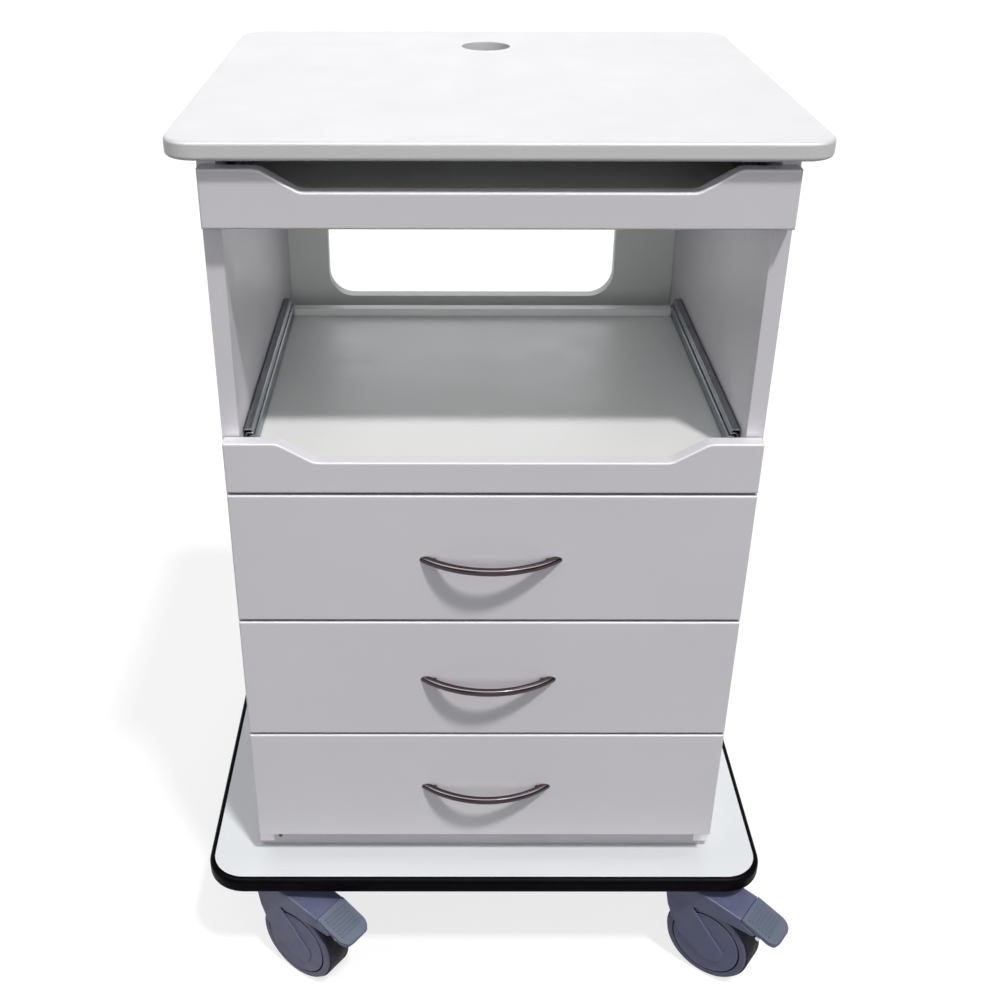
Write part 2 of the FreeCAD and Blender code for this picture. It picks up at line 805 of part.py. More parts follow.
def build_fork(word, frame):
    """A plastic housing: a strap down each side, hub covers, a sloping roof and a round neck."""
    body = body_named("ForkCore_" + word)
    half = size("fork_half")
    across = Vector(0, 1, 0)
    arm = outline(sketch_on(body, "Arm_" + word, "XZ_Plane"), fork_outline())
    extrude(body, "Pad", arm, half * 2, both=True)
    joint = SIZES["pedal_start"] - 2.0
    round_edges(body, "StrapEnd_" + word, size("strap_end_round"),
                lambda e: runs_along(e, across) and 30 < e.BoundBox.XMin < 63 and e.BoundBox.ZMax < 48)
    round_edges(body, "ForkCorners_" + word, size("fork_corner"),
                lambda e: runs_along(e, across) and e.BoundBox.ZMin > 60
                and not joint < e.BoundBox.XMin < joint + 4)
    round_edges(body, "ForkRounding_" + word, size("fork_round"), lambda e: in_side_plane(e, half.value))
    well = ring(sketch_on(body, "Well_" + word, "XZ_Plane"), size("trail"), size("wheel_radius"),
                size("wheel_well"))
    extrude(body, "Pocket", well, size("fork_gap_half") * 2, both=True)
    name = "Fork_" + word
    neck = local_rod(name + "Neck", size("fork_neck"), size("fork_neck_tall"), 0, 0, size("roof_top") - 4)
    tools = fuse(name + "Tools", fork_tools(name))
    fork = cut(name, fuse(name + "Whole", [body, neck] + hub_covers(word)), tools)
    fork.Placement = frame
    keep("caster_" + word + "_fork", fork)


def in_side_plane(edge, level):
    """True for an edge in one of the two side planes of a caster part."""
    return lies_at(edge, "y", level) or lies_at(edge, "y", -level)


def hub_covers(word):
    """The two round covers that close the wheel's sides inside its rim."""
    inside, outside = size("cover_inside"), size("cover_outside")
    covers = []
    for name, side in SIDES:
        body = body_named("Cover_%s_%s" % (word, name))
        disc = ring(sketch_on(body, "CoverDisc_%s_%s" % (word, name), "XZ_Plane"),
                    size("trail"), size("wheel_radius"), size("hub_cover"))
        extrude(body, "Pad", disc, outside - inside)
        level = -SIZES["cover_outside"] + SIZES["cover_inside"] if side < 0 else 0.0
        round_edges(body, "CoverRounding_%s_%s" % (word, name), size("cover_round"),
                    lambda e: lies_at(e, "y", level))
        place(body, 0, -inside if side < 0 else outside, 0)
        covers.append(body)
    return covers


def fork_tools(name):
    """The kingpin's socket, the axle's seat, the pin's seat and the slot for the pedal's ears."""
    across = Vector(0, 1, 0)
    gap = size("running_gap")
    low = size("kingpin_low") - gap
    socket = local_rod(name + "Socket", size("kingpin_radius") + gap, size("neck_top") - low, 0, 0, low)
    seat = size("axle_half") + gap
    axle = local_rod(name + "AxleSeat", size("axle_radius") + gap, seat * 2,
                     size("trail"), -seat, size("wheel_radius"), across)
    seat = size("pedal_pin_half") + gap
    pin = local_rod(name + "PinSeat", size("pin_radius") + gap, seat * 2,
                    size("pedal_pin_u"), -seat, size("pedal_pin_z"), across)
    half = size("ear_outer") + 0.4
    slot = local_block(name + "Slot", (73.0, 110.0), (-half, half), (80.0, size("pedal_high") - 4.6))
    return [socket, axle, pin, slot]


def local_block(name, x, y, z):
    return block(name, x, y, z, shift=0.0)


def local_rod(name, radius, height, x, y, z, along=Vector(0, 0, 1)):
    return rod(name, radius, height, x, y, z, along, shift=0.0)


def build_axle(word, frame):
    half = size("axle_half")
    axle = local_rod("Axle_" + word, size("axle_radius"), half * 2, 0, 0, 0, Vector(0, 1, 0))
    shaft = group("AxleShaft_" + word, [axle])
    shift = FreeCAD.Placement(Vector(SIZES["trail"], -SIZES["axle_half"], SIZES["wheel_radius"]),
                              FreeCAD.Rotation())
    shaft.Placement = frame * shift
    keep("caster_" + word + "_axle", shaft)


def build_rim(word, frame):
    """The wheel's plastic core: hub, web and a rim whose flanges hold the tyre."""
    body = body_named("Rim_" + word)
    bore = size("axle_radius") + size("running_gap")
    hub, hub_half, web = size("hub_radius"), size("hub_half"), size("web_half")
    half, tread = size("wheel_half"), size("tread_half")
    flange, seat, inner = size("flange_radius"), size("tyre_inner"), size("rim_inner")
    right = [(hub_half, bore), (hub_half, hub), (web, hub + 2), (web, inner - 2), (half, inner),
             (half, flange - 1.5), (half - 1.2, flange), (tread, flange), (tread, seat)]
    left = [(-x, y) for x, y in reversed(right)]
    sketch = outline(sketch_on(body, "RimSection_" + word, "YZ_Plane"), right + left)
    revolve(body, sketch, "H_Axis")
    body.Placement = frame * at_wheel()
    keep("caster_" + word + "_wheel_rim", body)


def build_tyre(word, frame):
    body = body_named("Tyre_" + word)
    tread, seat, radius = size("tread_half"), size("tyre_inner"), size("wheel_radius")
    right = [(tread, seat), (tread, radius - 1.4), (tread - 1.4, radius)]
    left = [(-x, y) for x, y in reversed(right)]
    sketch = outline(sketch_on(body, "TyreSection_" + word, "YZ_Plane"), right + left)
    revolve(body, sketch, "H_Axis")
    body.Placement = frame * at_wheel()
    keep("caster_" + word + "_tyre", body)


def pedal_angle():
    """How steeply the pedal falls from its joint to its tip, in degrees."""
    run = SIZES["pedal_tip"] - SIZES["pedal_start"] - 4.0
    fall = SIZES["pedal_high"] - SIZES["pedal_low"]
    return math.degrees(math.atan2(fall, run))


def pedal_side():
    """Side view of the pedal plate, with a nose that turns down at the tip."""
    start, tip = size("pedal_start"), size("pedal_tip")
    high, low, thick = size("pedal_high"), size("pedal_low"), size("pedal_thick")
    return [(start, high), (start, high - thick),
            (tip - 6, low - thick - 0.6), (tip - 3.5, low - thick - 1.6),
            (tip, low - 3), (tip - 1.2, low - 1), (tip - 4, low)]


def ear_outline():
    u, z = size("pedal_pin_u"), size("pedal_pin_z")
    return [(u - 6, z + 10), (u + 9, z + 4), (u + 7, z - 1), (u + 3, z - 4), (u - 3, z - 4), (u - 6, z - 1)]


def build_pedal(word, frame):
    """The ribbed foot plate with two ears on the hinge pin."""
    name = "Pedal_" + word
    plan = body_named(name + "Plan")
    half = size("pedal_half")
    sketch = outline(sketch_on(plan, name + "PlanOutline", "XY_Plane"),
                     rectangle((size("pedal_start"), size("pedal_tip")), (-half, half)))
    extrude(plan, "Pad", sketch, size("base_underside"))
    tip = SIZES["pedal_tip"]
    round_edges(plan, name + "Tip", size("pedal_round"),
                lambda e: runs_along(e, Vector(0, 0, 1)) and lies_at(e, "x", tip))
    side = body_named(name + "Side")
    extrude(side, "Pad", outline(sketch_on(side, name + "SideOutline", "XZ_Plane"), pedal_side()),
            half * 3, both=True)
    plate = doc.addObject("Part::Common", name + "Plate")
    plate.Base = plan
    plate.Tool = side
    ears = body_named(name + "Ears")
    extrude(ears, "Pad", outline(sketch_on(ears, name + "EarOutline", "XZ_Plane"), ear_outline()),
            size("ear_outer") * 2, both=True)
    gap = outline(sketch_on(ears, name + "EarGap", "XZ_Plane"), rectangle((60.0, 120.0), (80.0, 120.0)))
    extrude(ears, "Pocket", gap, size("ear_inner") * 2, both=True)
    whole = fuse(name + "Whole", [plate, ears] + pedal_ribs(name))
    bore = local_rod(name + "Bore", size("pin_radius") + size("running_gap"), half * 2,
                     size("pedal_pin_u"), -half, size("pedal_pin_z"), Vector(0, 1, 0))
    pedal = cut(name, whole, bore)
    pedal.Placement = frame
    keep("caster_" + word + "_pedal", pedal)


RIB_COUNT = 7
RIB_FIRST = 5.5
RIB_PITCH = 4.4
RIB_WIDE = 1.8


def pedal_ribs(name):
    """Grip ribs across the plate, square to its slope."""
    turn = FreeCAD.Rotation(Vector(0, 1, 0), pedal_angle())
    ribs = []
    for index in range(RIB_COUNT):
        along = RIB_FIRST + index * RIB_PITCH
        rib = doc.addObject("Part::Box", "%sRib%d" % (name, index))
        bind(rib, Length=RIB_WIDE, Width=size("rib_half") * 2, Height=size("rib_tall") + 1.0)
        start = Vector(SIZES["pedal_start"], -SIZES["rib_half"], SIZES["pedal_high"])
        rib.Placement = FreeCAD.Placement(start + turn.multVec(Vector(along, 0, -1.0)), turn)
        ribs.append(rib)
    return ribs


def cam_outline():
    """The steel shoe that hangs from the pin above the tread."""
    u, z = size("pedal_pin_u"), size("pedal_pin_z")
    return [(u - 4, z + 2), (u + 4, z + 2), (u + 9, z - 5), (u + 13, z - 12), (u + 11, z - 15),
            (u, z - 11.5), (u - 6, z - 8)]


def build_cam(word, frame):
    name = "Cam_" + word
    body = body_named(name + "Shoe")
    extrude(body, "Pad", outline(sketch_on(body, name + "Outline", "XZ_Plane"), cam_outline()),
            size("cam_half") * 2, both=True)
    u, z = size("pedal_pin_u"), size("pedal_pin_z")
    half, foot_half = size("pedal_pin_half"), size("cam_foot_half")
    pin = local_rod(name + "Pin", size("pin_radius"), half * 2, u, -half, z, Vector(0, 1, 0))
    foot = local_rod(name + "Foot", size("cam_foot_radius"), foot_half * 2, u + 10.5, -foot_half, z - 12.8,
                     Vector(0, 1, 0))
    cam = fuse(name, [body, pin, foot])
    cam.Placement = frame
    keep("caster_" + word + "_brake_cam", cam)


def caster_plate(word, side, end):
    """Mounting plate with its raceway and the kingpin that the fork turns on."""
    name = "Plate_" + word
    x, y = size("caster_x") * side, size("caster_y") * end
    top = size("base_underside")
    under = top - size("plate_thick")
    long_half, wide_half = size("plate_long") / 2, size("plate_wide") / 2
    flat = block(name + "Flat", (x - long_half, x + long_half), (y - wide_half, y + wide_half),
                 (under, top))
    race = rod(name + "Race", size("neck_radius"), size("raceway_tall"), x, y,
               under - size("raceway_tall"))
    pin = rod(name + "Kingpin", size("kingpin_radius"), under - size("kingpin_low"), x, y,
              size("kingpin_low"))
    bores = []
    for across in (-1, 1):
        for along in (-1, 1):
            bores.append(rod("%sBore%d%d" % (name, across + 1, along + 1),
                             size("bolt_radius") + size("fixing_gap"), size("plate_thick") + 2,
                             x + size("bolt_long") * (across / 2), y + size("bolt_wide") * (along / 2),
                             under - 1))
    return cut(name, fuse(name + "Whole", [flat, race, pin]), fuse(name + "Bores", bores))


def build_bolts():
    bolts = []
    under = size("base_underside") - size("plate_thick")
    for index, (x, y) in enumerate(bolt_places()):
        name = "Bolt%d" % index
        shank = rod(name + "Shank", size("bolt_radius"), size("plate_thick") + size("bolt_reach"),
                    x, y, under)
        head = doc.addObject("Part::Prism", name + "Head")
        head.Polygon = 6
        bind(head, Circumradius=size("bolt_head"), Height=size("bolt_head_tall"))
        place(head, x + size("frame_shift"), y, under - size("bolt_head_tall"))
        bolts.append(fuse(name, [shank, head]))
    keep("caster_bolts", group("CasterBolts", bolts))


def build_casters():
    plates = []
    for word, side, end, turn in caster_places():
        frame = caster_frame(side, end, turn)
        plates.append(caster_plate(word, side, end))
        build_fork(word, frame)
        build_axle(word, frame)
        build_rim(word, frame)
        build_tyre(word, frame)
        build_pedal(word, frame)
        build_cam(word, frame)
    keep("caster_plates", group("CasterPlates", plates))
    build_bolts()


# ---------------------------------------------------------------- check and write
def check(things):
    for thing in doc.Objects:
        bad = [state for state in thing.State if state in ("Invalid", "Error")]
        if bad:
            raise RuntimeError("%s is %s" % (thing.Name, bad))
    for thing in things:
        shape = thing.Shape
        if shape.isNull() or not shape.isValid() or not shape.Solids:
            raise RuntimeError(thing.Label + " has no valid solid")


def write_parts():
    os.makedirs("parts", exist_ok=True)
    box = FreeCAD.BoundBox()
    for thing in PARTS:
        thing.Shape.exportStep("parts/%s.step" % thing.Label)
        box.add(thing.Shape.BoundBox)
        print("%-36s %2d solids %10.0f mm3" % (thing.Label, len(thing.Shape.Solids), thing.Shape.Volume))
    print("%d nodes, box X %.2f %.2f Y %.2f %.2f Z %.2f %.2f" % (
        len(PARTS), box.XMin, box.XMax, box.YMin, box.YMax, box.ZMin, box.ZMax))


def main():
    build_top_board()
    build_sides()
    build_back_panel()
    build_bottom_panel()
    build_plinth()
    build_cleats()
    build_assembly_screws()
    build_base_board()
    build_moulding()
    build_slides()
    build_drawers()
    build_shelves()
    build_casters()
    doc.recompute()
    check(PARTS)
    write_parts()


main()
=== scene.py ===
import json
import math

import bmesh
import bpy
from mathutils import Matrix, Vector


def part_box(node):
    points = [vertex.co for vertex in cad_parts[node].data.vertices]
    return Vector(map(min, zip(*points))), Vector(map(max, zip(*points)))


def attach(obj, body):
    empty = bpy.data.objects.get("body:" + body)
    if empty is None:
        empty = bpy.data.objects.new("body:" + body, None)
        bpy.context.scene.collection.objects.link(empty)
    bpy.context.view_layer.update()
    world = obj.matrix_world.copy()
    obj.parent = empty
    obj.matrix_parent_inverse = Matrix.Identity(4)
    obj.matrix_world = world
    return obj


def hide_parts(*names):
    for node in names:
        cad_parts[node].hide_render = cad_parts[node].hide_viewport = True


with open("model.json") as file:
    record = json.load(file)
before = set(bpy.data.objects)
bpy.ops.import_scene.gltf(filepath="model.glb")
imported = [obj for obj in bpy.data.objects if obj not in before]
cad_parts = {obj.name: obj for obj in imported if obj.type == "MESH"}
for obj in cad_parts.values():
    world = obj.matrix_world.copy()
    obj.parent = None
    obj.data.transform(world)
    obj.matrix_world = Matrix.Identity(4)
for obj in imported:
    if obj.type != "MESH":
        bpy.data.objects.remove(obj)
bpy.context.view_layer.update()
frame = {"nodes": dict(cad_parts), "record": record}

mm = 0.001


def link(thing):
    """Put an object into the scene."""
    bpy.context.scene.collection.objects.link(thing)


# ---------------------------------------------------------------- node helpers
def new_material(name):
    """A material with nodes, its node tree and its main shader."""
    material = bpy.data.materials.new(name)
    material.use_nodes = True
    tree = material.node_tree
    shader = tree.nodes["Principled BSDF"]
    return material, tree, shader


def add(tree, kind, **settings):
    """A new node with its properties set."""
    node = tree.nodes.new(kind)
    for key, value in settings.items():
        setattr(node, key, value)
    return node


def object_coordinates(tree, stretch):
    """Coordinates fixed to the piece, in metres, stretched along its axes."""
    source = add(tree, "ShaderNodeTexCoord")
    mapping = add(tree, "ShaderNodeMapping")
    mapping.inputs["Scale"].default_value = stretch
    tree.links.new(source.outputs["Object"], mapping.inputs["Vector"])
    return mapping.outputs["Vector"]


def noise(tree, scale, detail=3.0, roughness=0.5, stretch=(1.0, 1.0, 1.0)):
    """Noise between 0 and 1 that is fixed to the piece."""
    texture = add(tree, "ShaderNodeTexNoise")
    texture.inputs["Scale"].default_value = scale
    texture.inputs["Detail"].default_value = detail
    texture.inputs["Roughness"].default_value = roughness
    tree.links.new(object_coordinates(tree, stretch), texture.inputs["Vector"])
    return texture.outputs["Fac"]


def remap(tree, value, low, high, start=0.0, end=1.0):
    """Clamped linear change from the range start..end to the range low..high."""
    node = add(tree, "ShaderNodeMapRange", clamp=True)
    tree.links.new(value, node.inputs["Value"])
    ranges = (("From Min", start), ("From Max", end), ("To Min", low), ("To Max", high))
    for name, number in ranges:
        node.inputs[name].default_value = number
    return node.outputs["Result"]


def times(tree, a, b):
    """a times b, where b is a socket or a number."""
    node = add(tree, "ShaderNodeMath", operation="MULTIPLY")
    tree.links.new(a, node.inputs[0])
    if isinstance(b, float):
        node.inputs[1].default_value = b
    else:
        tree.links.new(b, node.inputs[1])
    return node.outputs["Value"]


def plus(tree, a, b):
    """The sum of two sockets."""
    node = add(tree, "ShaderNodeMath", operation="ADD")
    tree.links.new(a, node.inputs[0])
    tree.links.new(b, node.inputs[1])
    return node.outputs["Value"]


def mix_colours(tree, factor, first, second):
    """A blend of two colours, each a socket or a tuple of three channels."""
    node = add(tree, "ShaderNodeMix", data_type="RGBA")
    tree.links.new(factor, node.inputs["Factor"])
    for socket, colour in ((node.inputs[6], first), (node.inputs[7], second)):
        if isinstance(colour, tuple):
            socket.default_value = (*colour, 1.0)
        else:
            tree.links.new(colour, socket)
    return node.outputs[2]


def shade_of(colour, factor):
    """The same hue, darker or lighter, kept at or below white."""
    return tuple(min(1.0, channel * factor) for channel in colour)


def soft_edges(tree, radius):
    """A normal that rounds sharp edges by a radius, in metres."""
    node = add(tree, "ShaderNodeBevel", samples=4)
    node.inputs["Radius"].default_value = radius
    return node.outputs["Normal"]


def bump(tree, height, strength, distance, normal=None):
    """A normal bent by a height map, on top of another normal where one is given."""
    node = add(tree, "ShaderNodeBump")
    node.inputs["Strength"].default_value = strength
    node.inputs["Distance"].default_value = distance
    tree.links.new(height, node.inputs["Height"])
    if normal is not None:
        tree.links.new(normal, node.inputs["Normal"])
    return node.outputs["Normal"]


def edge_mask(tree, radius):
    """1 close to a sharp edge, 0 on flat surface."""
    rounded = add(tree, "ShaderNodeBevel", samples=4)
    rounded.inputs["Radius"].default_value = radius
    plain = add(tree, "ShaderNodeNewGeometry")
    dot = add(tree, "ShaderNodeVectorMath", operation="DOT_PRODUCT")
    tree.links.new(rounded.outputs["Normal"], dot.inputs[0])
    tree.links.new(plain.outputs["True Normal"], dot.inputs[1])
    return remap(tree, dot.outputs["Value"], low=1.0, high=0.0, start=0.86, end=0.995)


def painted_crevice_shade_mask(tree, distance):
    """Painted shade mask from ambient occlusion: 1 in narrow gaps and inner corners, 0 in the
    open.
    """
    shade = add(tree, "ShaderNodeAmbientOcclusion", samples=6)
    shade.inputs["Distance"].default_value = distance
    return remap(tree, shade.outputs["AO"], low=1.0, high=0.0, start=0.2, end=0.75)


def set_gloss(tree, shader, texture, rough):
    """Roughness that follows a noise texture between two values."""
    gloss = remap(tree, texture, rough[0], rough[1], start=0.3, end=0.7)
    tree.links.new(gloss, shader.inputs["Roughness"])


# ---------------------------------------------------------------- materials
# How strongly wear shows on laminate and on plastic, and how dark the painted shade in their gaps
# and inner corners is, 0 to 1.
SCUFFED = 0.35
LAMINATE_CREVICE_SHADE = 0.7
RUBBED = 0.45
PLASTIC_CREVICE_SHADE = 0.85
# The colour of the painted highlight on metal edges and bends.
EDGE_HIGHLIGHT_METAL = (0.8, 0.81, 0.82)


def laminate(name, colour, worn, rough=(0.34, 0.46)):
    """White laminate: a satin skin with faint mottling, orange peel, scuffed edges and painted
    shade in gaps and inner corners.
    """
    material, tree, shader = new_material(name)
    cloud = noise(tree, scale=5.0, detail=4.0, roughness=0.6)
    cloud = remap(tree, cloud, low=0.0, high=1.0, start=0.3, end=0.7)
    skin = mix_colours(tree, cloud, colour, shade_of(colour, factor=0.965))
    patches = noise(tree, scale=70.0, detail=5.0, roughness=0.7)
    patches = remap(tree, patches, low=0.0, high=1.0, start=0.5, end=0.72)
    scuffs = times(tree, edge_mask(tree, radius=1.2 * mm), patches)
    used = mix_colours(tree, times(tree, scuffs, SCUFFED), skin, worn)
    # Painted shade: the laminate turns darker in gaps and inner corners.
    dust_and_painted_shade = times(tree, painted_crevice_shade_mask(tree, distance=5.0 * mm), LAMINATE_CREVICE_SHADE)
    dusty_and_shaded = mix_colours(tree, dust_and_painted_shade, used, shade_of(colour, factor=0.3))
    tree.links.new(dusty_and_shaded, shader.inputs["Base Color"])
    set_gloss(tree, shader, noise(tree, scale=24.0, detail=4.0, roughness=0.6), rough)
    peel = noise(tree, scale=420.0, detail=2.0, roughness=0.5)
    edges = soft_edges(tree, radius=0.7 * mm)
    peel = bump(tree, peel, strength=0.05, distance=0.3 * mm, normal=edges)
    tree.links.new(peel, shader.inputs["Normal"])
    return material


def moulded_plastic(name, colour, dull, rough=(0.42, 0.56), specular=0.5):
    """Moulded plastic: a fine eroded texture, dull patches, painted shade in the gaps, rubbed
    edges.
    """
    material, tree, shader = new_material(name)
    dust_and_painted_shade = noise(tree, scale=38.0, detail=5.0, roughness=0.65)
    dust_and_painted_shade = remap(tree, dust_and_painted_shade, low=0.0, high=0.55, start=0.42, end=0.75)
    skin = mix_colours(tree, dust_and_painted_shade, colour, dull)
    rubbed_and_highlight = times(tree, edge_mask(tree, radius=0.8 * mm), RUBBED)
    worn = mix_colours(tree, rubbed_and_highlight, skin, shade_of(colour, factor=1.5))
    # Painted shade: the plastic turns nearly black in gaps and inner corners.
    plastic_crevice_shade = times(tree, painted_crevice_shade_mask(tree, distance=3.5 * mm), PLASTIC_CREVICE_SHADE)
    plastic_crevice_shaded = mix_colours(tree, plastic_crevice_shade, worn, shade_of(colour, factor=0.15))
    tree.links.new(plastic_crevice_shaded, shader.inputs["Base Color"])
    set_gloss(tree, shader, noise(tree, scale=60.0, detail=3.0, roughness=0.6), rough)
    shader.inputs["Specular IOR Level"].default_value = specular
    grain = noise(tree, scale=900.0, detail=2.0, roughness=0.6)
    edges = soft_edges(tree, radius=0.5 * mm)
    grain = bump(tree, grain, strength=0.16, distance=0.15 * mm, normal=edges)
    tree.links.new(grain, shader.inputs["Normal"])
    return material


def metal(name, colour, stained, rough, stretch, grain=260.0, crevice_shade_strength=0.0, edge_highlight=0.0):
    """Metal with a directional grain, faint stains, painted shade in the gaps and a painted
    highlight on edges and bends.
    """
    material, tree, shader = new_material(name)
    shader.inputs["Metallic"].default_value = 1.0
    stain = noise(tree, scale=30.0, detail=4.0, roughness=0.65)
    stain = remap(tree, stain, low=0.0, high=0.6, start=0.4, end=0.75)
    skin = mix_colours(tree, stain, colour, stained)
    # Painted highlight: edges and rolled bends of the metal turn near white, as lips that catch
    # the light.
    rubbed_and_highlight = times(tree, edge_mask(tree, radius=1.5 * mm), edge_highlight)
    highlighted = mix_colours(tree, rubbed_and_highlight, skin, EDGE_HIGHLIGHT_METAL)
    # Painted shade: the metal turns nearly black in gaps and inner corners.
    metal_crevice_shade = times(tree, painted_crevice_shade_mask(tree, distance=5.0 * mm), crevice_shade_strength)
    metal_crevice_shaded = mix_colours(tree, metal_crevice_shade, highlighted, shade_of(colour, factor=0.08))
    tree.links.new(metal_crevice_shaded, shader.inputs["Base Color"])
    streaks = noise(tree, scale=grain, detail=3.0, roughness=0.6, stretch=stretch)
    set_gloss(tree, shader, streaks, rough)
    edges = soft_edges(tree, radius=0.35 * mm)
    lines = bump(tree, streaks, strength=0.12, distance=0.1 * mm, normal=edges)
    tree.links.new(lines, shader.inputs["Normal"])
    return material


def rubber(name, colour, dusty_and_shaded):
    """Dark rubber with dust worked into it."""
    material, tree, shader = new_material(name)
    dust_and_painted_shade = noise(tree, scale=55.0, detail=6.0, roughness=0.7)
    dust_and_painted_shade = remap(tree, dust_and_painted_shade, low=0.0, high=0.7, start=0.45, end=0.8)
    tree.links.new(mix_colours(tree, dust_and_painted_shade, colour, dusty_and_shaded), shader.inputs["Base Color"])
    set_gloss(tree, shader, noise(tree, scale=80.0), rough=(0.6, 0.8))
    shader.inputs["Specular IOR Level"].default_value = 0.25
    pores = noise(tree, scale=700.0, detail=3.0, roughness=0.7)
    pores = bump(tree, pores, strength=0.25, distance=0.2 * mm)
    tree.links.new(pores, shader.inputs["Normal"])
    return material


white = laminate("white_laminate", (0.85, 0.833, 0.875), worn=(0.50, 0.49, 0.47))
# Painted light: a lighter copy of the white laminate for the back panel and shelf boards, which
# brightens the dim bay.
lit_inner_white = laminate("inner_laminate_painted_light", (0.865, 0.88, 0.862), worn=(0.5, 0.5, 0.47))
# Painted shade: a darker copy of the white laminate for the top board, which faces the key light.
shaded_top_white = laminate("top_laminate_painted_shade", (0.785, 0.785, 0.79), worn=(0.5, 0.49, 0.47))
base_white = laminate(
    "base_laminate", (0.768, 0.792, 0.802), worn=(0.5, 0.5, 0.48), rough=(0.285, 0.3))
box_white = laminate(
    "drawer_melamine", (0.74, 0.74, 0.72), worn=(0.55, 0.5, 0.42), rough=(0.45, 0.6))
# Painted shade: a dark copy of the white laminate for the bottom panel and plinth, which sit in
# the shadow of the drawer fronts.
shaded_toe_white = laminate("toe_laminate_painted_shade", (0.52, 0.49, 0.53), worn=(0.4, 0.38, 0.38))
black_trim = moulded_plastic(
    "black_moulding", (0.002, 0.002, 0.003), dull=(0.006, 0.006, 0.008), rough=(0.3, 0.42),
    specular=0.02)
caster_grey = moulded_plastic("caster_plastic", (0.088, 0.097, 0.19), dull=(0.12, 0.13, 0.21))
rim_grey = moulded_plastic("rim_plastic", (0.07, 0.076, 0.14), dull=(0.095, 0.10, 0.155))
pedal_grey = moulded_plastic("pedal_plastic", (0.088, 0.113, 0.172), dull=(0.11, 0.135, 0.19))
tread = rubber("dark_tread", (0.010, 0.010, 0.018), dusty_and_shaded=(0.032, 0.032, 0.042))
slide_zinc = metal(
    "slide_zinc", (0.27, 0.295, 0.315), stained=(0.17, 0.19, 0.205), rough=(0.24, 0.4),
    stretch=(1.0, 0.06, 1.0), crevice_shade_strength=0.95, edge_highlight=0.8)
handle_nickel = metal(
    "handle_nickel", (0.062, 0.05, 0.054), stained=(0.045, 0.038, 0.042), rough=(0.08, 0.15),
    stretch=(0.08, 1.0, 1.0))
bright_zinc = metal(
    "bright_zinc", (0.62, 0.63, 0.62), stained=(0.5, 0.48, 0.42), rough=(0.3, 0.5),
    stretch=(1.0, 1.0, 1.0), grain=90.0)

MATERIAL_OF_SLOT = {
    "white_laminate": white,
    "drawer_white": box_white,
    "black_moulding": black_trim,
    "slide_steel": slide_zinc,
    "handle_steel": handle_nickel,
    "zinc_steel": bright_zinc,
    "caster_plastic": caster_grey,
    "pedal": pedal_grey,
    "tread": tread,
}
OWN_MATERIAL = {
    "top_board": shaded_top_white,
    "back_panel": lit_inner_white,
    "lower_shelf_board": lit_inner_white,
    "upper_shelf_board": lit_inner_white,
    "base_board": base_white,
    "bottom_panel": shaded_toe_white,
    "plinth": shaded_toe_white,
}


def dress_nodes():
    """Every CAD node gets its procedural material."""
    slots = {part["node"]: part["material_slot"] for part in frame["record"]["subparts"]}
    for name, thing in frame["nodes"].items():
        material = OWN_MATERIAL.get(name, MATERIAL_OF_SLOT[slots[name]])
        if name.endswith("_wheel_rim"):
            material = rim_grey
        thing.data.materials.clear()
        thing.data.materials.append(material)


# ---------------------------------------------------------------- drawer slides
UNITS = ("drawer_1", "drawer_2", "drawer_3", "lower_shelf", "upper_shelf")
CABINET_MEMBER_TALL = 45.0 * mm
# How far the C of each kind of member reaches from its web to its mouth.
CABINET_REACH = 9.5 * mm
MIDDLE_REACH = 7.6 * mm
INNER_REACH = 7.5 * mm
ARC_STEPS = 6
# Faces that meet at more than this many degrees stay sharp.
SHARP_ANGLE = 38.0

top_low, top_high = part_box("top_board")
CENTRE = (top_low.x + top_high.x) / 2


def arc(centre, radius, start, end):
    """Points on an arc between two angles, in degrees."""
    points = []
    for index in range(ARC_STEPS + 1):
        angle = math.radians(start + (end - start) * index / ARC_STEPS)
        points.append((centre[0] + radius * math.cos(angle), centre[1] + radius * math.sin(angle)))
    return points


def rolled_section(reach, tall):
    """Outer and inner lines of a rolled C: round bends at the web, lips turned in at the mouth."""
    sheet, corner, bend, lip = 1.2 * mm, 2.0 * mm, 2.6 * mm, 2.4 * mm
    half = tall / 2
    lines = []
    for depth in (0.0, sheet):
        upper = [(reach - depth, half - lip)]
        upper += arc((reach - corner, half - corner), corner - depth, start=0.0, end=90.0)
        upper += arc((bend, half - bend), bend - depth, start=90.0, end=180.0)
        lines.append(upper + [(x, -z) for x, z in reversed(upper)])
    return lines


def slide_member(section, web, way, ends, level, points, faces):
    """Add one C-shaped bar; web is its back's place on X and way the side its mouth faces."""
    outer, inner = section
    count = len(outer)
    near = len(points)
    far = near + 2 * count
    for y in ends:
        points += [(web + way * x, y, level + z) for x, z in outer + inner]
    for index in range(count - 1):
        a, b = index, index + 1
        faces.append((near + a, near + b, far + b, far + a))
        faces.append((near + count + b, near + count + a, far + count + a, far + count + b))
        faces.append((near + b, near + a, near + count + a, near + count + b))
        faces.append((far + a, far + b, far + count + b, far + count + a))
    for index in (0, count - 1):
        faces.append((near + index, far + index, far + count + index, near + count + index))


def pair_of_members(node, reach, outward, points, faces, level=None):
    """Add the left and right bars of a CAD slide node, from its box.

    The cabinet's node holds five pairs, so for that one the level of each pair is given.
    """
    low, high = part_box(node)
    tall = CABINET_MEMBER_TALL
    if level is None:
        tall = high.z - low.z
        level = (low.z + high.z) / 2
    edge = (high.x - low.x) / 2
    section = rolled_section(reach, tall)
    for side in (-1.0, 1.0):
        web = CENTRE + side * (edge - reach if outward else edge)
        way = side if outward else -side
        slide_member(section, web, way, (low.y, high.y), level, points, faces)


